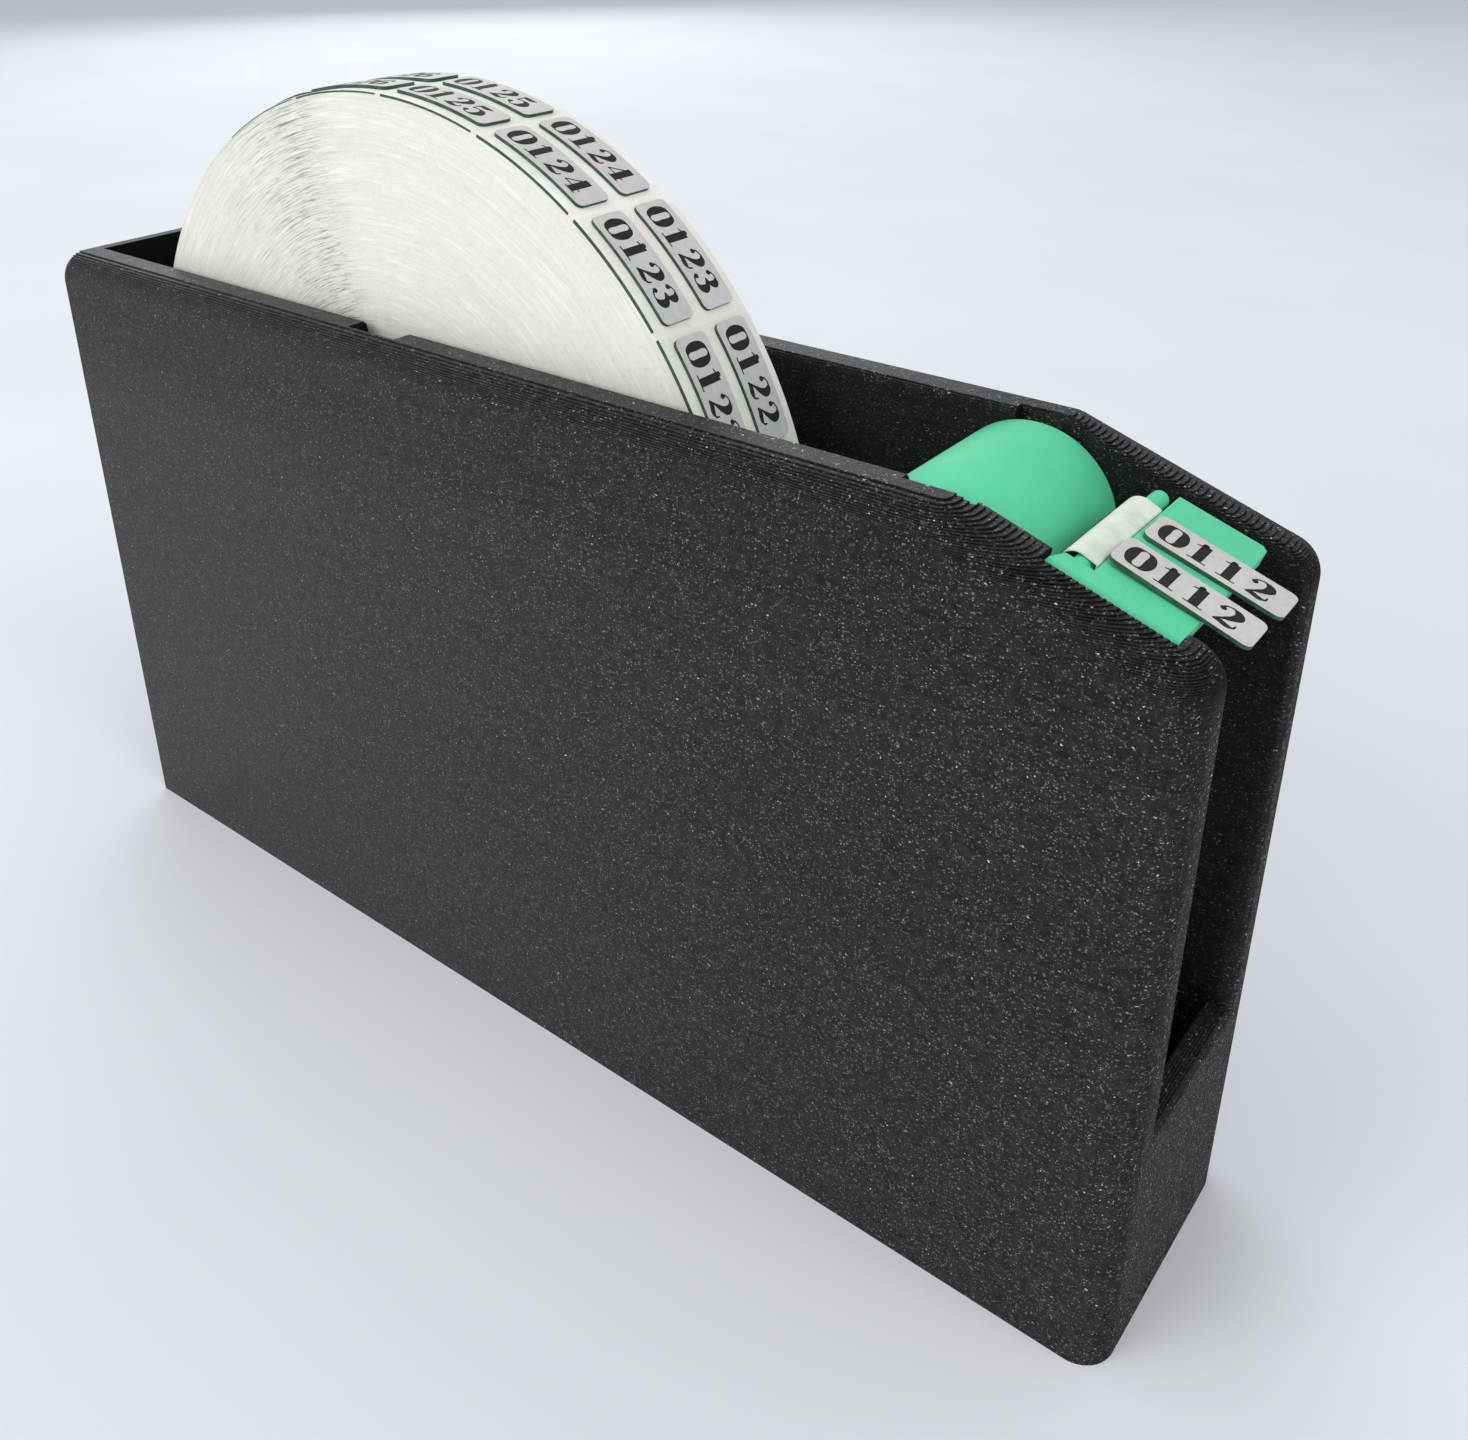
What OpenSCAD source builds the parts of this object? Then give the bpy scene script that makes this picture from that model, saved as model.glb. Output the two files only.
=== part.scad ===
// Desk dispenser for a two-row roll of number labels.
// A printed trough carries the roll on an axle. The web runs down in front of the roll, round the
// foot of a lift-out guide, up over a peel rod and down again as bare liner. The labels part from
// the liner at the fold and come to lie on a sloped plate.
// Origin: middle of the base. +X is the front, -Y the near wall, +Z is up. Millimetres.

/* [Housing] */
// Length of the housing, rear face to front face
housing_l = 240; // [230:1:290]
// Width of the housing across both walls
housing_w = 48; // [44:0.5:60]
// Height of the flat tops of the walls
housing_h = 131.5; // [108:0.5:160]
// Thickness of each side wall
wall_t = 9; // [7.5:0.5:11]
// Thickness of the rear wall
rear_t = 2.4; // [1.6:0.2:5]
// Thickness of the floor
floor_t = 4; // [2:0.5:6]
// Rounding of the outer top and front edges
edge_r = 5.5; // [3:0.5:6.5]
// Rounding of the walls' inner edges and of the apron's edge
inner_r = 1.25; // [0.5:0.25:2.5]
// Height of the apron that closes the front
apron_h = 41.3; // [20:0.1:60]
// Thickness of the apron
apron_t = 4; // [3:0.5:8]
// Length of the sloped nose, measured level
nose_l = 37.2; // [32:0.2:45]
// Slope of the nose
nose_a = 18; // [14:0.5:22]

/* [Label roll] */
// Radius of the full roll
roll_r = 75; // [50:1:80]
// Gap between the full roll and the guide
roll_gap = 19; // [10:0.5:24]
// Height of the roll's axis above the base
roll_z = 96; // [85:0.5:100]
// Width of the web
web_w = 21; // [17:0.5:25]
// Gap between the roll and the near wall
roll_side = 1; // [0.5:0.25:4]
// Inner radius of the cardboard core
core_r = 20; // [16:0.5:30]
// Wall of the cardboard core
core_t = 3; // [1.5:0.25:5]
// Radius of the axle
axle_r = 5.9; // [4:0.1:7.2]
// Depth of the axle's slots in each wall
slot_d = 4.2; // [3:0.2:5]

/* [Labels] */
// Length of a label along the web
label_l = 20; // [15:0.5:24]
// Width of a label across the web
label_w = 7; // [5:0.25:8]
// Corner radius of a label
label_r = 1.1; // [0.5:0.1:2]
// Gap between labels along the web
label_gap = 2.4; // [1.5:0.1:4]
// Gap between the two rows
row_gap = 2.8; // [1:0.1:4]
// Thickness of a label
label_t = 0.45; // [0.1:0.05:0.6]
// Thickness of the liner
liner_t = 0.15; // [0.1:0.01:0.3]
// Angle on the roll of a label's middle, above the level of the axis
label_phase = 45.4; // [0:0.1:360]
// Bare liner between the fold and the next label
bare_l = 6.4; // [2:0.1:15]

/* [Web guide] */
// Distance of the guide's front behind the front face
guide_back = 27.4; // [26.2:0.1:32.2]
// Radius of the guide's round top and foot
guide_r = 13.8; // [10:0.1:18]
// Height of the middle of the guide's foot
guide_foot_z = 44.8; // [30:0.2:60]
// Depth of the guide's top below the wall tops
guide_drop = 1.2; // [0:0.1:3]
// Depth of the slots for the guide's keys in each wall
key_d = 2; // [1:0.1:5]
// Width of the guide's keys
key_w = 10.4; // [8:0.2:16]
// How far the keys stand forward of the guide's middle
key_forward = 1.6; // [-3:0.1:3]
// How far the keys lie inside the guide's outline
key_inset = 2.6; // [0.5:0.1:3]

/* [Peel plate] */
// Distance of the plate's front edge behind the end of the nose, along the slope
plate_back = 5.8; // [3:0.1:9]
// Length of the plate along the slope
plate_l = 13.5; // [10:0.1:16]
// How far the near strip that carries the rod reaches behind the plate
strip_l = 5.5; // [4.5:0.1:7]
// Thickness of the plate
plate_t = 2.4; // [1.5:0.1:3]
// Depth of the plate's top below the slope of the walls
plate_drop = 0.2; // [0:0.1:1]
// How far the plate reaches into the near wall
plate_in = 3.2; // [2:0.1:4]
// Gap between the far wall and the free ends of the plate and the rod
plate_gap = 2.2; // [0.5:0.1:4]
// Bevel of the plate's near edge
plate_bevel = 0.8; // [0.2:0.1:1]
// Depth of the tongue that keys the plate into the near wall
tongue_h = 8; // [4:0.5:14]
// Length of the tongue along the slope
tongue_l = 10.8; // [5:0.1:13]
// Radius of the peel rod
rod_r = 1.4; // [1.2:0.1:1.8]
// Gap between the rod and the plate, which the liner goes down
rod_slot = 0.65; // [0.5:0.05:1.2]
// Radius of the liner's loop behind the rod
loop_r = 2.6; // [2.2:0.1:3.2]
// Slope of the liner from the rod to the fold, against the slope of the nose
lie_a = 8; // [2:1:15]
// Radius of the fold where the labels part from the liner
fold_r = 0.3; // [0.2:0.05:0.5]
// Length of the bare liner's hanging end
tail_l = 62; // [20:1:70]
// Height of a parted label's rear end above the plate
label_lift = 0.6; // [0.2:0.1:1.2]

/* [Fits] */
// Radial clearance of a turning fit
turn_fit = 0.05; // [0.02:0.01:0.1]
// Clearance on each side of a sliding or seated part
slide_fit = 0.2; // [0.1:0.05:0.4]
// Gap between paper that moves and what it passes
paper_fit = 0.3; // [0.2:0.05:0.5]
// Gap between the liner and the rod or plate that it bends round
liner_fit = 0.15; // [0.1:0.05:0.2]

/* [Hidden] */
$fn = 96;
rim_fn = 48;
eps = 0.01;
over = 10;
bend_step = 6;
corner_steps = 4;

print_dark = "#2a2b2f";
print_mint = "#5fd39f";
paper_white = "#f1efe8";
label_grey = "#b3b3b1";
core_brown = "#b08d62";

front_x = housing_l / 2;
rear_x = -housing_l / 2;
channel_w = housing_w - 2 * wall_t;
channel_y = channel_w / 2;
slope_x = front_x - nose_l;
nose_z = housing_h - nose_l * tan(nose_a);

// Middles of the outer edge's rolled corners in the X-Z plane, beyond the base and the rear
kink = edge_r * tan(nose_a / 2);
roll_top = housing_h - edge_r;
form_points = [
    [rear_x - over, roll_top],
    [slope_x - kink, roll_top],
    [front_x - edge_r, roll_top - (nose_l - edge_r + kink) * tan(nose_a)],
    [front_x - edge_r, -over],
    [rear_x - over, -over]
];

guide_x = front_x - guide_back - guide_r;
guide_top_z = housing_h - guide_drop - guide_r;
key_x = guide_x + key_forward;
key_y = channel_y + key_d - slide_fit;

roll_x = guide_x - guide_r - roll_gap - roll_r;
axle_y = channel_y + slot_d - slide_fit;
web_near = -channel_y + roll_side;
web_far = web_near + web_w;
web_y = web_near + web_w / 2;
row_pitch = row_gap + label_w;
near_row = web_y - row_pitch / 2;
far_row = web_y + row_pitch / 2;
label_pitch = label_l + label_gap;
roll_labels = floor(2 * PI * roll_r / label_pitch);
axle_ease = 0.8;
hub_inset = 0.5;
hub_rim = 3.2;
hub_boss = 3;
hub_ribs = 6;
rib_t = 2.4;
glue_t = 0.03;
label_rest = 0.15;
strip_lip = 0.3;

// Places on the nose: u runs forward down the slope to its end, n stands square to it
plate_n = -plate_drop;
plate_low = plate_n - plate_t;
plate_front = -plate_back;
plate_rear = plate_front - plate_l;
strip_rear = plate_rear - strip_l;
strip_y = -channel_y + strip_lip;
plate_near = -channel_y - plate_in;
plate_far = channel_y - plate_gap;
rod_u = plate_rear - rod_slot - rod_r;
rod_n = plate_n - rod_r;

function on_nose(u, n) = [
    front_x + u * cos(nose_a) + n * sin(nose_a),
    nose_z - u * sin(nose_a) + n * cos(nose_a)
];

// Liner over the rod: a loose loop, a short flat stretch and the fold into the gap behind the plate
loop_lead = 0.5;
flat_a = -nose_a - lie_a;
crest = rod_r + liner_fit + liner_t;
loop_end = [rod_u, rod_n] + crest * [sin(lie_a), cos(lie_a)] - loop_lead * [cos(lie_a), -sin(lie_a)];
loop_mid = loop_end - loop_r * [sin(lie_a), cos(lie_a)];
fold_u = plate_rear - liner_fit - fold_r * (1 - sin(lie_a));
flat_l = (fold_u - loop_end.x) / cos(lie_a);
drop_l = plate_t + 2;
tail_bend_r = 40;

// Route of the web in the X-Z plane, along the face of the liner that carries the labels
roll_c = [roll_x, roll_z];
foot_c = [guide_x, guide_foot_z];
loop_c = on_nose(loop_mid.x, loop_mid.y);
roll_wrap = roll_r + label_t + paper_fit + liner_t;
foot_wrap = guide_r + paper_fit + label_t;
to_foot = foot_c - roll_c;
to_loop = loop_c - foot_c;
leave_a = atan2(to_foot.y, to_foot.x) + acos((roll_wrap + foot_wrap) / norm(to_foot));
rise_a = atan2(to_loop.y, to_loop.x) - acos((foot_wrap + loop_r) / norm(to_loop));
fall_l = sqrt(pow(norm(to_foot), 2) - pow(roll_wrap + foot_wrap, 2));
rise_l = sqrt(pow(norm(to_loop), 2) - pow(foot_wrap + loop_r, 2));
start_pose = [roll_c + roll_wrap * [cos(leave_a), sin(leave_a)], leave_a - 90];

function arc_l(r, a) = r * a * PI / 180;

// Each stretch is its length and its curvature, positive to the left
route = [
    [fall_l, 0],
    [arc_l(foot_wrap, 180 + rise_a - leave_a), 1 / foot_wrap],
    [rise_l, 0],
    [arc_l(loop_r, rise_a + 90 - flat_a), -1 / loop_r],
    [flat_l, 0],
    [arc_l(fold_r, 90 - lie_a), -1 / fold_r],
    [drop_l, 0],
    [arc_l(tail_bend_r, nose_a), 1 / tail_bend_r],
    [tail_l, 0]
];
fold_at = 5;
peel_d = length_to(fold_at);
web_labels = floor((peel_d - bare_l + label_gap) / label_pitch);

function length_to(count) = count == 0 ? 0 : route[count - 1][0] + length_to(count - 1);

// Pose [point, heading] after a distance along one stretch
function moved(pose, d, bend) =
    let (h = pose[1], turned = h + d * bend * 180 / PI)
    bend == 0
        ? [pose[0] + d * [cos(h), sin(h)], h]
        : [pose[0] + [sin(turned) - sin(h), cos(h) - cos(turned)] / bend, turned];

// Poses along the route from distance d0 to d1, closer together where the web bends
function poses(d0, d1, pose = start_pose, i = 0) =
    i == len(route) || d1 <= 0 ? [] :
    let (
        span = route[i][0],
        bend = route[i][1],
        lo = max(d0, 0),
        hi = min(d1, span),
        steps = max(1, ceil((hi - lo) * abs(bend) * 180 / PI / bend_step))
    )
    concat(
        lo < hi - eps ? [for (k = [0 : steps]) moved(pose, lo + (hi - lo) * k / steps, bend)] : [],
        poses(d0 - span, d1 - span, moved(pose, span, bend), i + 1)
    );

function beside(pose, off) = pose[0] + off * [-sin(pose[1]), cos(pose[1])];

// Outline of the band between two offsets from the route
function band(d0, d1, lo, hi) =
    let (all = poses(d0, d1), last = len(all) - 1)
    concat([for (pose = all) beside(pose, lo)], [for (i = [last : -1 : 0]) beside(all[i], hi)]);

// Rectangle about the origin with rounded corners
function label_outline() = [
    for (corner = [[1, 1], [-1, 1], [-1, -1], [1, -1]], k = [0 : corner_steps])
        let (a = atan2(corner.y, corner.x) - 45 + 90 * k / corner_steps)
        [corner.x * (label_l / 2 - label_r), corner.y * (label_w / 2 - label_r)]
            + label_r * [cos(a), sin(a)]
];

// Lays an X-Z outline along Y
module along_y(y0, y1) {
    translate([0, y1, 0]) rotate([90, 0, 0]) linear_extrude(y1 - y0) children();
}

// Puts a shape on the nose: X forward down the slope, Z square to it
module on_slope() {
    translate([front_x, 0, nose_z]) rotate([0, nose_a, 0]) children();
}

// Lays a Y-Z section along X
module along_x(x0, x1) {
    translate([x0, 0, 0]) rotate([90, 0, 90]) linear_extrude(x1 - x0) children();
}

// Half of a round-rimmed disc at a corner of the outer form, its rounding towards +Y or -Y
module form_disc(corner, y, rim, side) {
    translate([corner.x, y, corner.y]) rotate([-90 * side, 0, 0]) rotate_extrude($fn = rim_fn) intersection() {
        translate([edge_r - rim, 0]) circle(rim, $fn = rim_fn);
        square([edge_r, rim]);
    }
}

// Side wall: rolled edges along the top, the nose and the front, wide outside and narrow inside
module wall_form(side) {
    hull() for (corner = form_points) {
        form_disc(corner, side * (housing_w / 2 - edge_r), edge_r, side);
        form_disc(corner, side * (channel_y + inner_r), inner_r, -side);
    }
}

// Floor, rear wall and apron, each reaching a little way into the side walls
module cross_walls() {
    reach = channel_y + inner_r + eps;
    intersection() {
        hull() for (corner = form_points, side = [-1, 1])
            form_disc(corner, side * (housing_w / 2 - edge_r), edge_r, side);
        along_y(-reach, reach) {
            translate([rear_x, 0]) square([housing_l, floor_t]);
            translate([rear_x, 0]) square([rear_t, housing_h]);
            translate([front_x - apron_t, 0]) square([apron_t, apron_h - inner_r]);
            translate([front_x - apron_t, 0]) square([apron_t - inner_r, apron_h]);
            translate([front_x - inner_r, apron_h - inner_r]) circle(inner_r);
        }
    }
}

// Open-topped slots in both walls, with a half-round seat for the axle
module axle_slots() {
    seat_r = axle_r + turn_fit;
    along_y(-channel_y - slot_d, channel_y + slot_d) {
        translate([roll_x, roll_z]) circle(seat_r);
        translate([roll_x - seat_r, roll_z]) square([2 * seat_r, housing_h]);
    }
}

// Open-topped slots in both walls for the keys of the guide
module guide_slots() {
    slot_w = key_w + 2 * slide_fit;
    translate([key_x - slot_w / 2, -channel_y - key_d, guide_foot_z])
        cube([slot_w, channel_w + 2 * key_d, housing_h]);
}

// Step in the near wall for the plate, and the groove for its tongue
module plate_seat() {
    step_y = plate_near - slide_fit;
    on_slope() {
        along_x(strip_rear - slide_fit, plate_front + slide_fit) polygon([
            [step_y, plate_low],
            [-channel_y + eps, plate_low],
            [-channel_y + eps, over],
            [step_y - plate_bevel, over],
            [step_y - plate_bevel, 0],
            [step_y, -plate_bevel]
        ]);
        translate([plate_rear - slide_fit, step_y, plate_low - tongue_h - slide_fit])
            cube([tongue_l + 2 * slide_fit, plate_in + slide_fit + eps, tongue_h + over]);
    }
}

module housing() {
    color(print_dark) difference() {
        intersection() {
            translate([rear_x, -housing_w / 2, 0]) cube([housing_l, housing_w, housing_h]);
            union() {
                wall_form(-1);
                wall_form(1);
                cross_walls();
            }
        }
        axle_slots();
        guide_slots();
        plate_seat();
    }
}

// Upright capsule in the X-Z plane, drawn in from the guide's outline by an inset
module guide_profile(inset = 0) {
    r = guide_r - inset;
    translate([guide_x, guide_top_z]) circle(r);
    translate([guide_x, guide_foot_z]) circle(r);
    translate([guide_x - r, guide_foot_z]) square([2 * r, guide_top_z - guide_foot_z]);
}

module web_guide() {
    color(print_mint) {
        along_y(-channel_y + slide_fit, channel_y - slide_fit) guide_profile();
        along_y(-key_y, key_y) intersection() {
            guide_profile(key_inset);
            translate([key_x - key_w / 2, guide_foot_z]) square([key_w, housing_h]);
        }
    }
}

// Section of the plate across the slope, with its bevelled near edge
module plate_section() {
    polygon([
        [plate_near, plate_low],
        [plate_far, plate_low],
        [plate_far, plate_n],
        [plate_near + plate_bevel, plate_n],
        [plate_near, plate_n - plate_bevel]
    ]);
}

// Plan of the plate on the slope: the table, and the pointed near strip that carries the rod
module plate_plan() {
    tip = strip_l / 4;
    polygon([
        [strip_rear, plate_near],
        [strip_rear + tip, strip_y],
        [plate_rear, strip_y],
        [plate_rear, plate_far],
        [plate_front - plate_bevel, plate_far],
        [plate_front, plate_far - plate_bevel],
        [plate_front, plate_near]
    ]);
}

// Rod that stands out from the near strip to a domed free end
module peel_rod() {
    straight = plate_far - plate_near - rod_r;
    translate([rod_u, plate_near, rod_n]) rotate([-90, 0, 0]) rotate_extrude() {
        translate([0, plate_in]) square([rod_r, straight - plate_in]);
        translate([0, straight]) intersection() {
            circle(rod_r);
            square(rod_r);
        }
    }
}

module peel_plate() {
    color(print_mint) on_slope() {
        intersection() {
            along_x(strip_rear, plate_front) plate_section();
            translate([0, 0, -over]) linear_extrude(2 * over) plate_plan();
        }
        translate([plate_rear, plate_near, plate_low - tongue_h])
            cube([tongue_l, plate_in - slide_fit, tongue_h + eps]);
        peel_rod();
    }
}

module roll_axle() {
    color(print_mint) translate([roll_x, -axle_y, roll_z]) rotate([-90, 0, 0]) rotate_extrude()
        polygon([
            [0, 0],
            [axle_r - axle_ease, 0],
            [axle_r, axle_ease],
            [axle_r, 2 * axle_y - axle_ease],
            [axle_r - axle_ease, 2 * axle_y],
            [0, 2 * axle_y]
        ]);
}

// Hub with a rim in the core, a boss on the axle and ribs between them
module core_hub() {
    bore_r = axle_r + turn_fit;
    rim_r = core_r - turn_fit;
    color(print_mint) translate([roll_x, 0, roll_z])
        along_y(web_near + hub_inset, web_far - hub_inset) difference() {
            union() {
                difference() {
                    circle(rim_r);
                    circle(rim_r - hub_rim);
                }
                circle(bore_r + hub_boss);
                for (i = [0 : hub_ribs - 1])
                    rotate(i * 360 / hub_ribs) translate([bore_r, -rib_t / 2])
                        square([rim_r - hub_rim / 2 - bore_r, rib_t]);
            }
            circle(bore_r);
        }
}

module ring(inner, outer) {
    translate([roll_x, 0, roll_z]) along_y(web_near, web_far) difference() {
        circle(outer);
        circle(inner);
    }
}

module roll_core() {
    color(core_brown) ring(core_r, core_r + core_t);
}

module label_roll() {
    color(paper_white) ring(core_r + core_t, roll_r);
}

// One row of labels on the outer turn of the roll
module roll_row(y) {
    color(label_grey) for (i = [0 : roll_labels - 1])
        intersection() {
            ring(roll_r, roll_r + label_t);
            translate([roll_x, y, roll_z]) rotate([0, 90 - label_phase - i * 360 / roll_labels, 0])
                linear_extrude(roll_r + over) polygon(label_outline());
        }
}

module roll_labels_near() {
    roll_row(near_row);
}

module roll_labels_far() {
    roll_row(far_row);
}

module liner_web() {
    color(paper_white) along_y(web_near, web_far) polygon(band(0, length_to(len(route)), -liner_t, 0));
}

// One row of labels still on the web, counted back from the fold
module web_row(y) {
    color(label_grey) for (i = [0 : web_labels - 1]) {
        head = peel_d - bare_l - i * label_pitch;
        along_y(y - label_w / 2, y + label_w / 2) polygon(band(head - label_l, head, glue_t, label_t));
    }
}

module web_labels_near() {
    web_row(near_row);
}

module web_labels_far() {
    web_row(far_row);
}

// A parted label: its rear end lifted, its underside just over the plate's front edge
module dispensed_label(y) {
    lean = atan2(label_lift - label_rest, plate_l);
    color(label_grey) on_slope() translate([plate_rear, y, plate_n + label_lift]) rotate([0, lean, 0])
        translate([label_l / 2, 0, 0]) linear_extrude(label_t) polygon(label_outline());
}

module dispensed_label_near() {
    dispensed_label(near_row);
}

module dispensed_label_far() {
    dispensed_label(far_row);
}

housing();
web_guide();
peel_plate();
roll_axle();
core_hub();
roll_core();
label_roll();
roll_labels_near();
roll_labels_far();
liner_web();
web_labels_near();
web_labels_far();
dispensed_label_near();
dispensed_label_far();
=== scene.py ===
import bmesh
import bpy
import math
import random
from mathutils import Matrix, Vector


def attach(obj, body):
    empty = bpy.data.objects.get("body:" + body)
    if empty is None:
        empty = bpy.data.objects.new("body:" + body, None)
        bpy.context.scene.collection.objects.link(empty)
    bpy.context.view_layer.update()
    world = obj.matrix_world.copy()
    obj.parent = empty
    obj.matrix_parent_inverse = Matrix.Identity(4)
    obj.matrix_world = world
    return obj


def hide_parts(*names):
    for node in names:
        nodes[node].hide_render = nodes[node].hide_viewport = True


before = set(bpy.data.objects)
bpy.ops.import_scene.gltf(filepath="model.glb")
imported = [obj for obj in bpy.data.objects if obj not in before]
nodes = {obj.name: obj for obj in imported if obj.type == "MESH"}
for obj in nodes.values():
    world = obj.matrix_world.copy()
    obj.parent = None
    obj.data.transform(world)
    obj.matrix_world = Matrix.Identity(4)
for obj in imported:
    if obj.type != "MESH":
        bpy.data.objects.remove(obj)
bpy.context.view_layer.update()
mm = 0.001
print("frame loaded:", len(nodes), "nodes")

# sizes of the dispenser in millimetres, as in the solid model
body = {"front": 120.0, "top": 131.5, "noseLength": 37.2, "noseAngle": 18.0, "apronTop": 41.3}
roll = {"x": -29.0, "z": 96.0, "radius": 75.0, "coreRadius": 23.0, "near": -14.0, "far": 7.0}
label = {"length": 20.0, "width": 7.0, "corner": 1.1, "gap": 2.4, "thick": 0.45, "perTurn": 21,
         "phase": 45.4, "rows": {"near": -8.4, "far": 1.4}}
layerHeight = 0.3  # of the dark print, which the solid model leaves smooth
merge = {"solid": 2e-6, "section": 5e-6, "turn": 1e-7}  # metres within which corners become one
onPlane = 1e-7  # metres from a cutting plane


# helpers that turn a bmesh into a finished piece

def newObject(name, data):
    made = bpy.data.objects.new(name, data)
    bpy.context.scene.collection.objects.link(made)
    return made


def pieceFrom(bm, name, rides, finishes, smoothBelow=None, replaces=()):
    mesh = bpy.data.meshes.new(name)
    if smoothBelow is not None:
        limit = math.radians(smoothBelow)
        for face in bm.faces:
            face.smooth = True
        for edge in bm.edges:
            edge.smooth = len(edge.link_faces) == 2 and edge.calc_face_angle(0) < limit
    bm.to_mesh(mesh)
    bm.free()
    for finish in finishes:
        mesh.materials.append(finish.material)
    piece = newObject(name, mesh)
    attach(piece, rides)
    if replaces:
        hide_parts(*replaces)


def addCopy(bm, mesh, place):
    first = len(bm.verts)
    bm.from_mesh(mesh)
    bm.verts.ensure_lookup_table()
    for vert in bm.verts[first:]:
        vert.co = place(vert.co)


patterns = []  # meshes that are only copied from, and removed at the end


def keepPattern(bm, name):
    mesh = bpy.data.meshes.new(name)
    bm.to_mesh(mesh)
    bm.free()
    patterns.append(mesh)
    return mesh


def everything(bm):
    return bm.verts[:] + bm.edges[:] + bm.faces[:]


def edgesIn(parts):
    return [part for part in parts if isinstance(part, bmesh.types.BMEdge)]


def vertsIn(parts):
    return [part for part in parts if isinstance(part, bmesh.types.BMVert)]


def thicken(bm, faces, height):
    raised = bmesh.ops.extrude_face_region(bm, geom=faces, use_keep_orig=True)["geom"]
    bmesh.ops.translate(bm, verts=vertsIn(raised), vec=(0, 0, height))
    bmesh.ops.recalc_face_normals(bm, faces=bm.faces[:])


def easeOff(bm, parts, offset, segments, affect="EDGES"):
    bmesh.ops.bevel(bm, geom=parts, offset=offset, affect=affect, segments=segments, profile=0.5,
                    material=-1, clamp_overlap=True)


# shader maths: a value wraps a socket, and an expression adds Math nodes

class Value:
    def __init__(self, finish, socket):
        self.finish, self.socket = finish, socket

    def output(self, name):
        return Value(self.finish, self.socket.node.outputs[name])

    def calc(self, operation, *others):
        inputs = dict(enumerate((self,) + others))
        return self.finish.node("ShaderNodeMath", {"operation": operation}, inputs)

    def __add__(self, other):
        return self.calc("ADD", other)

    def __radd__(self, other):
        return self.calc("ADD", other)

    def __sub__(self, other):
        return self.calc("SUBTRACT", other)

    def __rsub__(self, other):
        return self.finish.node("ShaderNodeMath", {"operation": "SUBTRACT"}, {0: other, 1: self})

    def __mul__(self, other):
        return self.calc("MULTIPLY", other)

    def __rmul__(self, other):
        return self.calc("MULTIPLY", other)

    def __truediv__(self, other):
        return self.calc("DIVIDE", other)

    def __pow__(self, other):
        return self.calc("POWER", other)

    def __gt__(self, other):
        return self.calc("GREATER_THAN", other)

    def __lt__(self, other):
        return self.calc("LESS_THAN", other)

    def __abs__(self):
        return self.calc("ABSOLUTE")

    def ease(self, low, high):
        return self.finish.node("ShaderNodeMapRange", {"interpolation_type": "SMOOTHSTEP"},
                                {"Value": self, "From Min": low, "From Max": high})


class Finish:
    def __init__(self, name, specular):
        self.material = bpy.data.materials.new(name)
        self.material.use_nodes = True
        self.tree = self.material.node_tree
        self.skin = self.tree.nodes["Principled BSDF"]
        self.seat = self.node("ShaderNodeTexCoord", out="Object")
        self.give("Specular IOR Level", specular)

    def node(self, kind, settings=None, inputs=None, out=0):
        made = self.tree.nodes.new(kind)
        for key, value in (settings or {}).items():
            setattr(made, key, value)
        for key, value in (inputs or {}).items():
            self.join(value, made.inputs[key])
        return Value(self, made.outputs[out])

    def join(self, value, socket):
        if isinstance(value, Value):
            self.tree.links.new(value.socket, socket)
        else:
            socket.default_value = value

    def give(self, socket, value):
        self.join(value, self.skin.inputs[socket])

    def axes(self, vector):
        split = self.node("ShaderNodeSeparateXYZ", None, {0: vector})
        return [split.output(axis) for axis in "XYZ"]

    def inMillimetres(self):
        return [axis * (1.0 / mm) for axis in self.axes(self.seat)]

    def stretched(self, x, y, z):
        return self.node("ShaderNodeVectorMath", {"operation": "MULTIPLY"}, {0: self.seat, 1: (x, y, z)})

    def noise(self, vector, scale, detail=2.0, rough=0.5, out=0):
        inputs = {"Vector": vector, "Scale": scale, "Detail": detail, "Roughness": rough}
        return self.node("ShaderNodeTexNoise", None, inputs, out)

    def mix(self, a, b, factor):
        return self.node("ShaderNodeMix", {"data_type": "RGBA"}, {0: factor, 6: a, 7: b}, out=2)

    def roughness(self, base, added, pattern):
        self.give("Roughness", base + added * pattern)

    def relief(self, height):
        inputs = {"Height": height, "Distance": mm, "Strength": 1.0}
        self.give("Normal", self.node("ShaderNodeBump", None, inputs))


def rgb(red, green, blue):
    return (red, green, blue, 1.0)


def both(one, other, share):
    return share * one + (1.0 - share) * other


# finishes: a noise is its scale, detail and roughness, places and depths are in millimetres,
# a pair of limits is where something starts and ends, and rough is a base and what a pattern adds

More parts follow.
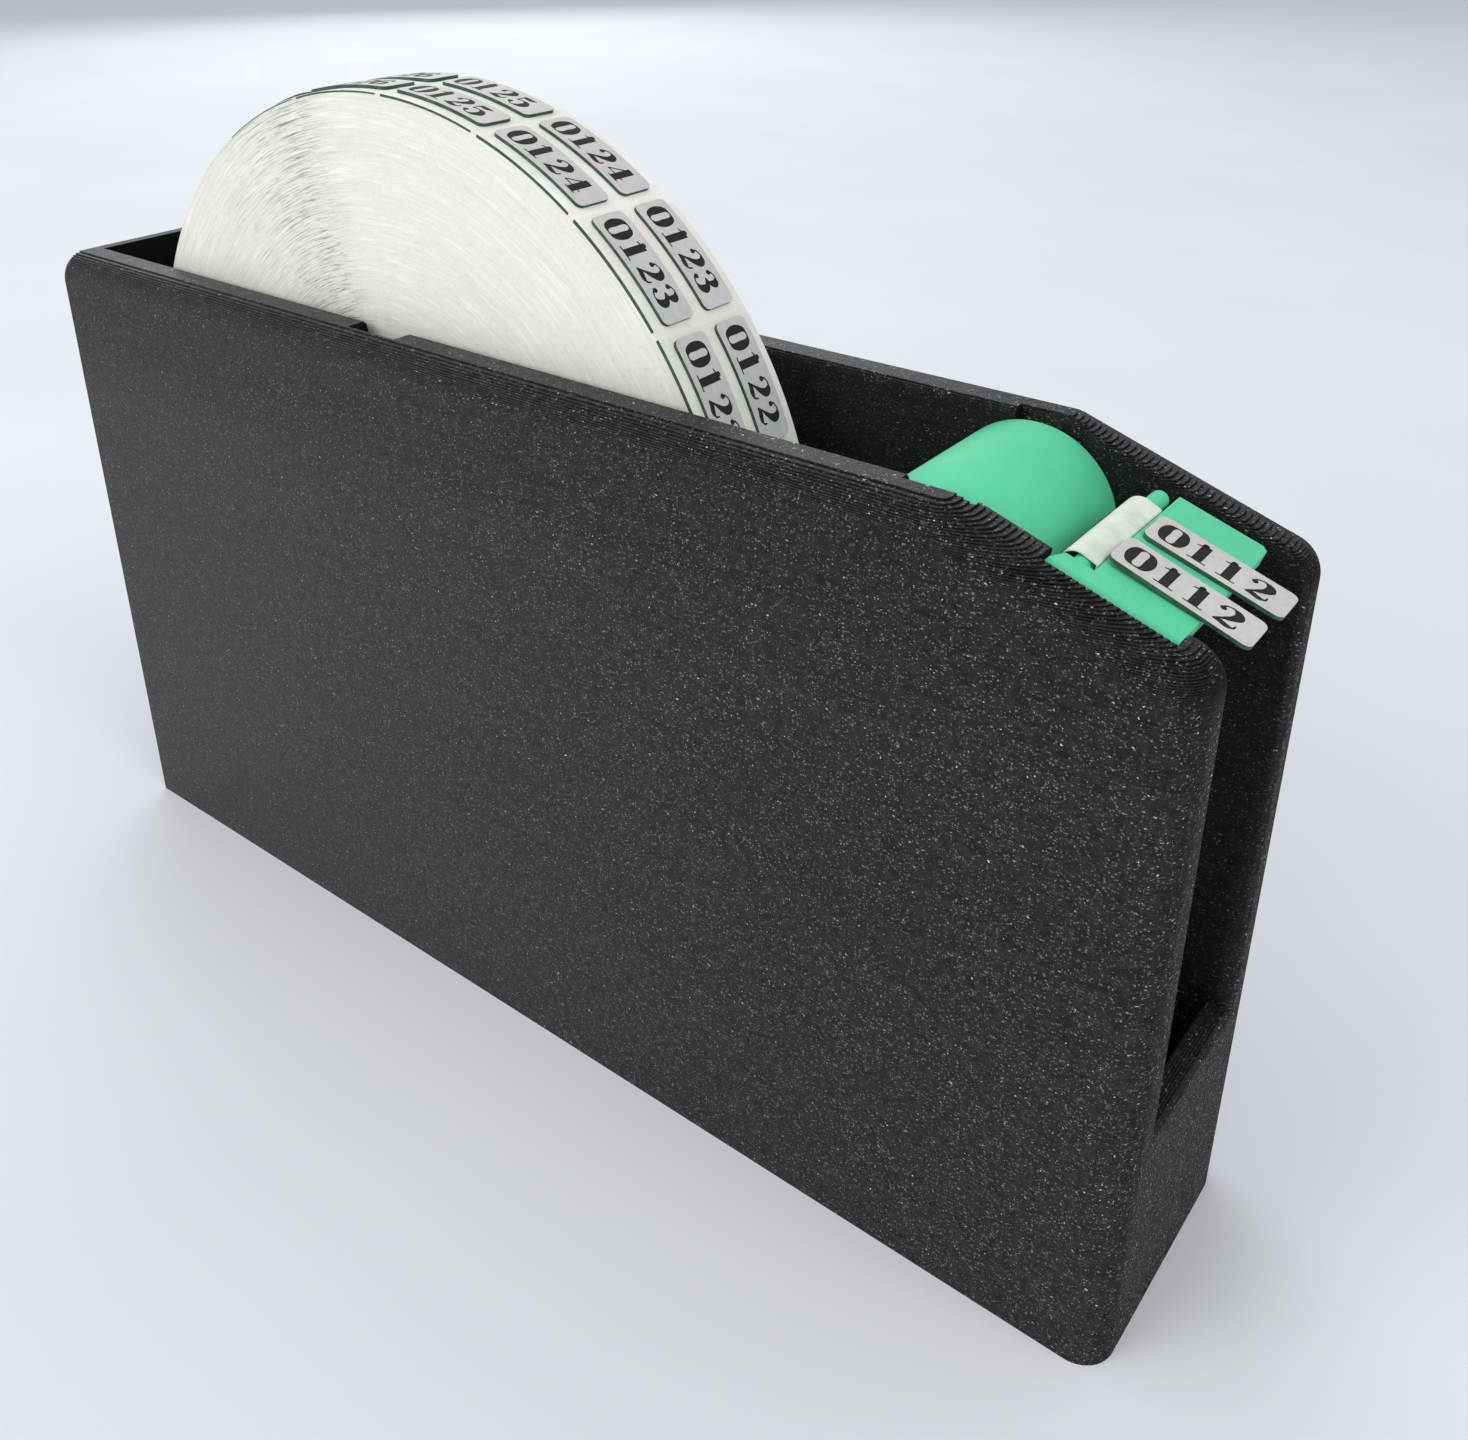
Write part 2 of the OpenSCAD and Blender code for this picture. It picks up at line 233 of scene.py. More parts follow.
darkPrint = {
    "specular": 0.20, "base": rgb(0.0036, 0.0039, 0.0044), "pale": rgb(0.0390, 0.0394, 0.0412),
    "streak": {"stretch": (18.0, 18.0, 1900.0), "noise": (1.0, 3.0), "share": 0.35},
    "cloud": (620.0, 3.0, 0.65), "spread": (0.36, 0.64), "paler": 0.42,
    # flecks: cells in a metre, and how far each fills its cell
    "fleck": rgb(0.62, 0.62, 0.62), "bend": {"scale": 0.8, "detail": 1.0, "push": 1.8},
    "fine": {"across": 2500.0, "upright": 3300.0, "reach": 0.40, "power": 4.0, "share": 0.27},
    "spark": {"across": 1900.0, "upright": 2700.0, "reach": 0.28, "rare": 0.86, "dimmest": 0.2,
              "share": 0.95},
    # inside the channel the print is darker and has fewer flecks, as painted shade, and from front to rear it
    # grows paler, as painted sheen
    "channelShade": {"y": (15.6, 14.6), "z": (40.3, 42.3), "x": -119.5, "shadeStrength": 0.85, "fewer": 0.9},
    # painted sheen: toward the rear the print grows paler, standing for the wall's grazing reflection, and
    # has fewer flecks
    "rearSheen": {"x": (115.0, -95.0), "paler": 0.5, "fewer": 0.25},
    # front faces of the nose's layers, darkened as painted shade in the grooves between layers
    "steps": {"tone": rgb(0.0008, 0.0008, 0.0009), "z": (112.0, 117.0), "facing": (0.2, 0.8), "share": 0.9},
    "topFacing": (0.75, 0.95), "frontFacing": (0.5, 0.9),
    "rough": {"base": 0.46, "streak": 0.12, "spark": 0.2, "top": 0.06, "front": 0.3},
    "lineWidth": 0.45, "sillReach": 2.0, "grain": (2400.0, 2.0),
    "depth": {"bead": 0.018, "line": 0.012, "sill": 0.05, "wallGrain": 0.016, "topGrain": 0.006},
}


def darkPrintFinish():
    look = darkPrint
    finish = Finish("darkSparklePrint", look["specular"])
    channelShade, rearSheen, steps = look["channelShade"], look["rearSheen"], look["steps"]
    bend, rough, depth = look["bend"], look["rough"], look["depth"]
    x, y, z = finish.inMillimetres()
    facingX, _, facingZ = finish.axes(finish.node("ShaderNodeNewGeometry", out="Normal"))
    onTop = facingZ.ease(*look["topFacing"])
    onFront = facingX.ease(*look["frontFacing"])
    # painted shade mask on the front faces of the nose's layers
    stepShade = facingX.ease(*steps["facing"]) * z.ease(*steps["z"])
    # painted shade inside the channel between the walls, above the apron
    inChannelShade = abs(y).ease(*channelShade["y"]) * z.ease(*channelShade["z"]) * (x > channelShade["x"])
    # painted sheen, growing from front to rear
    toRearSheen = x.ease(*rearSheen["x"])
    streak = finish.noise(finish.stretched(*look["streak"]["stretch"]), *look["streak"]["noise"])
    cloud = finish.noise(finish.seat, *look["cloud"])
    tone = both(streak, cloud, look["streak"]["share"]).ease(*look["spread"])

    def flecks(kind):
        push = finish.noise(finish.seat, kind["across"] * bend["scale"], bend["detail"], out="Color")
        push = finish.node("ShaderNodeVectorMath", {"operation": "SCALE"}, {0: push, "Scale": bend["push"]})
        cells = finish.stretched(kind["across"], kind["across"], kind["upright"])
        cells = finish.node("ShaderNodeVectorMath", {"operation": "ADD"}, {0: cells, 1: push})
        cells = finish.node("ShaderNodeTexVoronoi", {"feature": "F1"}, {"Vector": cells, "Scale": 1.0})
        draw, dim, _ = finish.axes(cells.output("Color"))
        return cells < kind["reach"], draw, dim

    inside, draw, _ = flecks(look["fine"])
    fine = inside * draw ** look["fine"]["power"]
    inside, draw, dim = flecks(look["spark"])
    dimmest = look["spark"]["dimmest"]
    spark = inside * (draw > look["spark"]["rare"]) * (dimmest + (1.0 - dimmest) * dim * dim)
    # the pale tone drops in the channel's painted shade and rises toward the rear as painted sheen
    pale = (look["paler"] * tone + rearSheen["paler"] * toRearSheen) * (1.0 - channelShade["shadeStrength"] * inChannelShade)
    shine = fine * look["fine"]["share"] + spark * look["spark"]["share"]
    shine = shine * (1.0 - channelShade["fewer"] * inChannelShade) * (1.0 - rearSheen["fewer"] * toRearSheen)
    colour = finish.mix(look["base"], look["pale"], pale)
    colour = finish.mix(colour, look["fleck"], shine)
    # painted shade in the nose's layer grooves
    finish.give("Base Color", finish.mix(colour, steps["tone"], stepShade * steps["share"]))
    dull = rough["base"] + rough["streak"] * streak - rough["spark"] * spark
    finish.give("Roughness", dull - rough["top"] * onTop + rough["front"] * onFront)

    def ridges(axis, spacing):
        return abs((axis * (math.pi / spacing)).calc("SINE"))

    onSill = z < body["apronTop"] + look["sillReach"]
    lines = ridges(y, look["lineWidth"]) * (1.0 - onSill) * depth["line"]
    lines = lines + ridges(x, look["lineWidth"]) * onSill * depth["sill"]
    grain = finish.noise(finish.seat, *look["grain"])
    wall = ridges(body["top"] - z, layerHeight) * depth["bead"] + grain * depth["wallGrain"]
    finish.relief(wall * (1.0 - onTop) + (lines + grain * depth["topGrain"]) * onTop)
    return finish


mintPrint = {"specular": 0.4, "low": rgb(0.083, 0.572, 0.315), "high": rgb(0.097, 0.625, 0.353),
             "cloud": (160.0, 4.0, 0.6), "cloudShare": 0.45, "grain": (2600.0, 3.0, 0.6),
             "spread": (0.36, 0.64), "rough": (0.52, 0.18), "depth": 0.014}


def mintPrintFinish():
    look = mintPrint
    finish = Finish("mintPrint", look["specular"])
    grain = finish.noise(finish.seat, *look["grain"])
    tone = both(finish.noise(finish.seat, *look["cloud"]), grain, look["cloudShare"])
    finish.give("Base Color", finish.mix(look["low"], look["high"], tone.ease(*look["spread"])))
    finish.roughness(*look["rough"], grain)
    finish.relief(grain * look["depth"])
    return finish


woundPaper = {
    "specular": 0.25, "paper": rgb(0.85, 0.84, 0.765), "aged": rgb(0.72, 0.70, 0.61),
    # the dark colour is for dust marks and for the painted shade band
    "white": rgb(0.93, 0.92, 0.87), "dustAndShade": rgb(0.19, 0.185, 0.17),
    # arcs round the core: waves in a millimetre of radius and in a radian, detail, shift
    "strokes": {"waves": (3.8, 6.0, 3.0, 0.0), "shows": (0.50, 0.64), "dustAndShade": (0.05, 0.6), "depth": 0.05},
    "fine": {"waves": (5.0, 14.0, 3.0, 8.0), "shows": (0.48, 0.68), "dustAndShade": (0.08, 0.5), "depth": 0.02},
    "rings": {"waves": (1.7, 2.2, 3.0, 4.0), "shows": (0.50, 0.70), "share": 0.25, "depth": 0.05},
    "wide": {"waves": (0.22, 0.7, 2.0, 12.0), "shows": (0.44, 0.72), "share": 0.25},
    "light": {"waves": (1.1, 5.0, 3.0, 30.0), "shows": (0.52, 0.66), "share": 0.8},
    "patches": {"waves": (0.10, 3.0, 2.0, 20.0), "base": 0.35, "added": 0.9},
    "arcRough": 0.6, "crumb": {"noise": (1300.0, 3.0, 0.6), "shows": (0.5, 0.75), "share": 0.5},
    # a painted shade band, the dark streak where the wound layers reflect less light, runs out from the core,
    # its angle and spread in radians
    "band": {"angle": 1.88, "right": 0.10, "left": 0.36, "dustAndShade": 0.05},
    "rough": (0.62, 0.15),
}


def rollPaperFinish():
    look = woundPaper
    finish = Finish("woundPaper", look["specular"])
    x, _, z = finish.inMillimetres()
    dx, dz = x - roll["x"], z - roll["z"]
    radius = (dx * dx + dz * dz) ** 0.5
    angle = dz.calc("ARCTAN2", dx)

    def arcs(kind):
        perRadius, perRadian, detail, shift = look[kind]["waves"]
        inputs = {0: radius * perRadius, 1: angle * perRadian, 2: shift}
        where = finish.node("ShaderNodeCombineXYZ", None, inputs)
        return finish.noise(where, 1.0, detail, look["arcRough"])

    def share(kind, pattern):
        return pattern.ease(*look[kind]["shows"]) * look[kind]["share"]

    strokes, rings, fine = arcs("strokes"), arcs("rings"), arcs("fine")
    # painted shade band round the core, standing for the layers' reflection
    offset = angle - look["band"]["angle"]
    reach = (offset > 0.0) * (look["band"]["left"] - look["band"]["right"]) + look["band"]["right"]
    spread = offset / reach
    patches = look["patches"]["base"] + look["patches"]["added"] * arcs("patches")
    band = (0.0 - spread * spread).calc("EXPONENT") * patches

    # dust marks, made darker inside the painted shade band
    def dustAndShade(kind, pattern):
        everywhere, inShadeBand = look[kind]["dustAndShade"]
        return pattern.ease(*look[kind]["shows"]) * (everywhere + inShadeBand * band)

    dustAndShadeShare = dustAndShade("strokes", strokes) + dustAndShade("fine", fine) + look["band"]["dustAndShade"] * band
    crumb = finish.noise(finish.seat, *look["crumb"]["noise"])
    aged = share("wide", arcs("wide")) + share("rings", rings) + share("crumb", crumb)
    paper = finish.mix(look["paper"], look["aged"], aged.calc("MINIMUM", 1.0))
    paper = finish.mix(paper, look["white"], share("light", arcs("light")))
    # dust and painted shade laid over the paper
    finish.give("Base Color", finish.mix(paper, look["dustAndShade"], dustAndShadeShare.calc("MINIMUM", 1.0)))
    finish.roughness(*look["rough"], fine)
    height = strokes * look["strokes"]["depth"] + rings * look["rings"]["depth"]
    finish.relief(height + fine * look["fine"]["depth"])
    return finish


linerSheet = {"specular": 0.35, "low": rgb(0.61, 0.66, 0.57), "high": rgb(0.73, 0.77, 0.69),
              "stretch": (500.0, 900.0, 500.0), "fibre": (1.0, 4.0, 0.6), "mottle": (260.0, 3.0),
              "mottleShare": 0.6, "spread": (0.35, 0.65), "rough": (0.48, 0.14), "depth": 0.010}


def linerPaperFinish():
    look = linerSheet
    finish = Finish("linerPaper", look["specular"])
    fibre = finish.noise(finish.stretched(*look["stretch"]), *look["fibre"])
    mottle = finish.noise(finish.seat, *look["mottle"])
    tone = both(mottle, fibre, look["mottleShare"])
    finish.give("Base Color", finish.mix(look["low"], look["high"], tone.ease(*look["spread"])))
    finish.roughness(*look["rough"], mottle)
    finish.relief(fibre * look["depth"])
    return finish


labelPaper = {"specular": 0.3, "low": rgb(0.50, 0.495, 0.48), "high": rgb(0.58, 0.57, 0.55),
              "weave": (900.0, 3.0), "weaveShare": 0.5, "cloud": (120.0, 2.0), "spread": (0.35, 0.65),
              "rough": (0.46, 0.12), "depth": 0.004}


def labelFaceFinish():
    look = labelPaper
    finish = Finish("labelFace", look["specular"])
    weave = finish.noise(finish.seat, *look["weave"])
    tone = both(weave, finish.noise(finish.seat, *look["cloud"]), look["weaveShare"])
    finish.give("Base Color", finish.mix(look["low"], look["high"], tone.ease(*look["spread"])))
    finish.roughness(*look["rough"], weave)
    finish.relief(weave * look["depth"])
    return finish


cutEdge = {"specular": 0.4, "low": rgb(0.022, 0.062, 0.040), "high": rgb(0.045, 0.105, 0.070),
           "grain": (700.0, 3.0), "spread": (0.35, 0.65), "rough": (0.45, 0.2)}


def labelEdgeFinish():
    look = cutEdge
    finish = Finish("labelEdge", look["specular"])
    grain = finish.noise(finish.seat, *look["grain"])
    finish.give("Base Color", finish.mix(look["low"], look["high"], grain.ease(*look["spread"])))
    finish.roughness(*look["rough"], grain)
    return finish


printInk = {"specular": 0.15, "low": rgb(0.012, 0.010, 0.008), "high": rgb(0.030, 0.025, 0.020),
            "grain": (1500.0, 2.0), "rough": (0.55, 0.2)}


def numberInkFinish():
    look = printInk
    finish = Finish("numberInk", look["specular"])
    grain = finish.noise(finish.seat, *look["grain"])
    finish.give("Base Color", finish.mix(look["low"], look["high"], grain))
    finish.roughness(*look["rough"], grain)
    return finish


tubeBoard = {"specular": 0.2, "low": rgb(0.34, 0.21, 0.10), "high": rgb(0.50, 0.34, 0.18),
             "stretch": (600.0, 2200.0, 600.0), "fibre": (1.0, 4.0, 0.6), "spread": (0.3, 0.7),
             "rough": (0.8, 0.1), "depth": 0.03}


def coreBoardFinish():
    look = tubeBoard
    finish = Finish("coreBoard", look["specular"])
    fibre = finish.noise(finish.stretched(*look["stretch"]), *look["fibre"])
    finish.give("Base Color", finish.mix(look["low"], look["high"], fibre.ease(*look["spread"])))
    finish.roughness(*look["rough"], fibre)
    finish.relief(fibre * look["depth"])
    return finish


dark = darkPrintFinish()
mint = mintPrintFinish()
rollPaper = rollPaperFinish()
linerPaper = linerPaperFinish()
labelFace = labelFaceFinish()
labelEdge = labelEdgeFinish()
ink = numberInkFinish()
board = coreBoardFinish()
print("finishes made")


# housing: plain below, a stack of printed layers where the walls slope and roll over
stack = {"layers": 90, "ease": 0.05, "fade": 40, "straight": 0.4, "sliver": 0.03, "smoothBelow": 20.0}


def sectionAt(solid, z):
    cut = solid.copy()
    bmesh.ops.bisect_plane(cut, geom=everything(cut), dist=onPlane, plane_co=(0, 0, z), plane_no=(0, 0, 1),
                           clear_inner=True, clear_outer=True)
    bmesh.ops.remove_doubles(cut, verts=cut.verts[:], dist=merge["section"])
    bmesh.ops.dissolve_limit(cut, angle_limit=math.radians(stack["straight"]), verts=cut.verts[:],
                             edges=cut.edges[:])
    return cut


def printedLayer(solid, base, count):
    height = layerHeight * mm
    slab = sectionAt(solid, base + (count + 0.5) * height)
    bmesh.ops.translate(slab, verts=slab.verts[:], vec=(0, 0, -height / 2))
    thicken(slab, bmesh.ops.edgeloop_fill(slab, edges=slab.edges[:])["faces"], height)
    rims = [edge for edge in slab.edges if abs(edge.verts[0].co.z - edge.verts[1].co.z) < height / 2]
    ease = stack["ease"] * min(1.0, (count + 1) / stack["fade"]) * mm  # the lowest layers blend into the wall
    easeOff(slab, rims, ease, segments=1)
    return keepPattern(slab, "slab")


def printedHousing():
    base = body["top"] * mm - stack["layers"] * (layerHeight * mm)
    solid = bmesh.new()
    solid.from_mesh(nodes["housing"].data)
    bmesh.ops.remove_doubles(solid, verts=solid.verts[:], dist=merge["solid"])
    bmesh.ops.dissolve_degenerate(solid, dist=stack["sliver"] * mm, edges=solid.edges[:])
    whole = solid.copy()
    cut = bmesh.ops.bisect_plane(whole, geom=everything(whole), dist=onPlane, plane_co=(0, 0, base),
                                 plane_no=(0, 0, 1), clear_outer=True)
    bmesh.ops.edgeloop_fill(whole, edges=edgesIn(cut["geom_cut"]))
    for count in range(stack["layers"]):
        addCopy(whole, printedLayer(solid, base, count), lambda co: co)
    solid.free()
    print("housing layers:", stack["layers"], "faces:", len(whole.faces))
    pieceFrom(whole, "printedHousing", "root", [dark], stack["smoothBelow"], ["housing"])


printedHousing()


# route of the web in the X-Z plane, along the liner's label side, in millimetres
guide = {"x": 78.8, "footZ": 44.8, "radius": 13.8}
peel = {"plateRear": -19.3, "plateTop": -0.2, "plateLength": 13.5, "rodAlong": -21.35, "rodAbove": -1.6,
        "rodRadius": 1.4}
web = {"liner": 0.15, "paperGap": 0.3, "linerGap": 0.15, "lie": 8.0, "lead": 0.5, "fold": 0.3,
       "drop": 4.4, "tailBend": 40.0, "tail": 62.0, "bare": 6.4, "labels": 9,
       "loop": 2.4}  # the solid's loop is 2.6


def onNose(along, above):
    slope = math.radians(body["noseAngle"])
    noseZ = body["top"] - body["noseLength"] * math.tan(slope)
    return Vector((body["front"] + along * math.cos(slope) + above * math.sin(slope),
                   noseZ - along * math.sin(slope) + above * math.cos(slope)))


def polar(length, angle):
    return Vector((length * math.cos(angle), length * math.sin(angle)))


def webRoute():
    lie, slope = math.radians(web["lie"]), math.radians(body["noseAngle"])
    crest = peel["rodRadius"] + web["linerGap"] + web["liner"]
    endAlong = peel["rodAlong"] + crest * math.sin(lie) - web["lead"] * math.cos(lie)
    endAbove = peel["rodAbove"] + crest * math.cos(lie) + web["lead"] * math.sin(lie)
    loopMid = onNose(endAlong - web["loop"] * math.sin(lie), endAbove - web["loop"] * math.cos(lie))
    foldAlong = peel["plateRear"] - web["linerGap"] - web["fold"] * (1 - math.sin(lie))
    flat = (foldAlong - endAlong) / math.cos(lie)
    rollMid, footMid = Vector((roll["x"], roll["z"])), Vector((guide["x"], guide["footZ"]))
    rollWrap = roll["radius"] + label["thick"] + web["paperGap"] + web["liner"]
    footWrap = guide["radius"] + web["paperGap"] + label["thick"]
    toFoot, toLoop = footMid - rollMid, loopMid - footMid
    leave = math.atan2(toFoot.y, toFoot.x) + math.acos((rollWrap + footWrap) / toFoot.length)
    rise = math.atan2(toLoop.y, toLoop.x) - math.acos((footWrap + web["loop"]) / toLoop.length)
    fall = math.sqrt(toFoot.length_squared - (rollWrap + footWrap) ** 2)
    climb = math.sqrt(toLoop.length_squared - (footWrap + web["loop"]) ** 2)
    # each run is its length and its bend, which is one over the radius
    runs = [(fall, 0.0), (footWrap * (math.pi + rise - leave), 1 / footWrap), (climb, 0.0),
            (web["loop"] * (rise + math.pi / 2 + slope + lie), -1 / web["loop"]), (flat, 0.0),
            (web["fold"] * (math.pi / 2 - lie), -1 / web["fold"]), (web["drop"], 0.0),
            (web["tailBend"] * slope, 1 / web["tailBend"]), (web["tail"], 0.0)]
    return rollMid + polar(rollWrap, leave), leave - math.pi / 2, runs


webStart, webHeading, webRuns = webRoute()
peelAt = sum(length for length, bend in webRuns[:5])  # up to the fold


def webPose(distance):
    spot, heading, left = webStart.copy(), webHeading, distance
    for length, bend in webRuns:
        step = min(left, length)
        if bend:
            turned = heading + step * bend
            spot += Vector((math.sin(turned) - math.sin(heading),
                            math.cos(heading) - math.cos(turned))) / bend
            heading = turned
        else:
            spot += polar(step, heading)
        left -= step
        if left <= 0:
            break
    return spot, heading


# places: each turns a flat label's millimetres into a point of the shared frame in metres

def onWeb(middle, rowY):
    def place(co):
        spot, heading = webPose(middle + co.x)
        spot = spot + polar(co.z, heading + math.pi / 2)
        return Vector((spot.x, rowY + co.y, spot.y)) * mm
    return place


def onRoll(angle, rowY):
    def place(co):
        at = angle - co.x / roll["radius"]
        return Vector((roll["x"] + (roll["radius"] + co.z) * math.cos(at), rowY + co.y,
                       roll["z"] + (roll["radius"] + co.z) * math.sin(at))) * mm
    return place


# parted labels: height above the plate at its rear and front edges, and how far each has slid
parted = {"near": {"lift": 0.6, "rest": 0.15, "slide": 0.0},
          "far": {"lift": 0.18, "rest": 0.03, "slide": 0.6}}


def onPlate(row):
    rowY, lies = label["rows"][row], parted[row]
    lean = math.atan2(lies["lift"] - lies["rest"], peel["plateLength"])

    def place(co):
        reach = co.x + label["length"] / 2 + lies["slide"]
        along = peel["plateRear"] + reach * math.cos(lean) + co.z * math.sin(lean)
        above = peel["plateTop"] + lies["lift"] - reach * math.sin(lean) + co.z * math.cos(lean)
        spot = onNose(along, above)
        return Vector((spot.x, rowY + co.y, spot.y)) * mm
    return place


# liner: a strip grown along the route, then given its thickness
linerLook = {"steps": 0.9, "bendSteps": math.radians(4.0), "across": 6, "near": -13.4, "smoothBelow": 30.0}


def linerStops():
    stops, done = [], 0.0
    for length, bend in webRuns:
        straight = math.ceil(length / linerLook["steps"])
        parts = max(1, straight, math.ceil(abs(bend) * length / linerLook["bendSteps"]))
        stops += [done + length * (k + 1) / parts for k in range(parts)]
        done += length
    return stops


def linerStrip():
    bm = bmesh.new()
    near, across = linerLook["near"], linerLook["across"]
    start, width = onWeb(0.0, near), roll["far"] - near
    row = [bm.verts.new(start(Vector((0, width * k / across, 0)))) for k in range(across + 1)]
    edges = [bm.edges.new(pair) for pair in zip(row, row[1:])]
    for stop in linerStops():
        edges = edgesIn(bmesh.ops.extrude_edge_only(bm, edges=edges)["geom"])
        place = onWeb(stop, near)
        for vert in {vert for edge in edges for vert in edge.verts}:
            vert.co = place(Vector((0, vert.co.y / mm - near, 0)))
    bmesh.ops.recalc_face_normals(bm, faces=bm.faces[:])
    first = bm.faces[0].normal
    labelSide = polar(1.0, webHeading + math.pi / 2)
    if first.x * labelSide.x + first.z * labelSide.y < 0:
        bmesh.ops.reverse_faces(bm, faces=bm.faces[:])
    bmesh.ops.solidify(bm, geom=bm.faces[:], thickness=web["liner"] * mm)
    bmesh.ops.recalc_face_normals(bm, faces=bm.faces[:])
    pieceFrom(bm, "linerStrip", "root", [linerPaper], linerLook["smoothBelow"], ["liner_web"])


linerStrip()
print("liner laid")


# roll of wound paper: its sides step a little from turn to turn
rollLook = {"turns": 62, "steps": 220, "step": 0.10, "seed": 5, "smoothBelow": 40.0}


def woundRoll():
    draw = random.Random(rollLook["seed"])
    bm = bmesh.new()
    inner, outer, count = roll["coreRadius"], roll["radius"], rollLook["turns"]
    radii = [inner + (outer - inner) * k / count for k in range(count + 1)]
    steps = [rollLook["step"] * (radius < outer) for radius in radii]
    nearSide = [(radius, roll["near"] + draw.random() * step) for radius, step in zip(radii, steps)]
    farSide = [(radius, roll["far"] - draw.random() * step) for radius, step in zip(radii, steps)]
    outline = nearSide + farSide[::-1]
    ring = [bm.verts.new(((roll["x"] + radius) * mm, y * mm, roll["z"] * mm)) for radius, y in outline]
    edges = [bm.edges.new((ring[k - 1], ring[k])) for k in range(len(ring))]
    bmesh.ops.spin(bm, geom=ring + edges, cent=(roll["x"] * mm, 0, roll["z"] * mm), axis=(0, 1, 0),
                   angle=2 * math.pi, steps=rollLook["steps"], use_merge=True)
    bmesh.ops.remove_doubles(bm, verts=bm.verts[:], dist=merge["turn"])
    bmesh.ops.recalc_face_normals(bm, faces=bm.faces[:])
    pieceFrom(bm, "woundRoll", "roll", [rollPaper], rollLook["smoothBelow"], ["label_roll"])


woundRoll()
print("roll wound")


# labels, flat first and then laid in place
labelLook = {"cuts": 12, "cornerSteps": 4, "thick": 0.58, "facesUp": 0.5, "smoothBelow": 30.0}


def flatLabel(length, width, corner, thick):
    bm = bmesh.new()
    bmesh.ops.create_grid(bm, x_segments=labelLook["cuts"], y_segments=1, size=0.5)
    bmesh.ops.scale(bm, verts=bm.verts[:], vec=(length, width, 1))
    if corner:
        corners = [vert for vert in bm.verts if len(vert.link_edges) == 2]
        easeOff(bm, corners, corner, labelLook["cornerSteps"], "VERTICES")
    thicken(bm, bm.faces[:], thick)
    for face in bm.faces:
        face.material_index = 0 if face.normal.z > labelLook["facesUp"] else 1
    return keepPattern(bm, "flatLabel")


oneLabel = flatLabel(label["length"], label["width"], label["corner"], labelLook["thick"])


def labelPiece(name, rides, places, replaced):
    bm = bmesh.new()
    for place in places:
        addCopy(bm, oneLabel, place)
    finishes = [labelFace, labelEdge]
    pieceFrom(bm, name, rides, finishes, labelLook["smoothBelow"], [replaced])


webMiddles = [peelAt - web["bare"] - k * (label["length"] + label["gap"]) - label["length"] / 2
              for k in range(web["labels"])]
rollAngles = [math.radians(label["phase"]) + (k - 1) * 2 * math.pi / label["perTurn"]
              for k in range(label["perTurn"])]

# dark strips at the roll's near rim, the edges of the labels below the outer turn and painted shade in the
# gaps between turns: the width beside each of the roll's labels, by its index
rimLook = {"depth": 0.1, "shift": 0.55, "length": 21.1, "proud": 0.012,
           "widths": {20: 0.5, 0: 0.62, 1: 0.62, 2: 0.52, 3: 0.40, 4: 0.28, 5: 0.14}}


def onRim(angle, width):
    def place(co):
        at = angle + (rimLook["shift"] - co.x) / roll["radius"]
        reach = roll["radius"] - rimLook["depth"] - width / 2 + co.y
        spot = Vector((roll["x"], roll["z"])) + polar(reach, at)
        return Vector((spot.x, roll["near"] - co.z, spot.y)) * mm
    return place


def rimEdgesAndShade():
    bm = bmesh.new()
    for index, width in rimLook["widths"].items():
        strip = flatLabel(rimLook["length"], width, 0.0, rimLook["proud"])
        addCopy(bm, strip, onRim(rollAngles[index], width))
    bmesh.ops.recalc_face_normals(bm, faces=bm.faces[:])
    # painted shade in the rim's gaps, together with the labels' edges below
    pieceFrom(bm, "rimEdgesAndShade", "roll", [labelEdge, labelEdge])


for row, rowY in label["rows"].items():
    tail = row.capitalize()
    rollPlaces = [onRoll(angle, rowY) for angle in rollAngles]
    webPlaces = [onWeb(middle, rowY) for middle in webMiddles]
    labelPiece("rollLabels" + tail, "roll", rollPlaces, "roll_labels_" + row)
    labelPiece("webLabels" + tail, "root", webPlaces, "web_labels_" + row)
    labelPiece("partedLabel" + tail, row + "_label", [onPlate(row)], "dispensed_label_" + row)
rimEdgesAndShade()
print("labels laid")


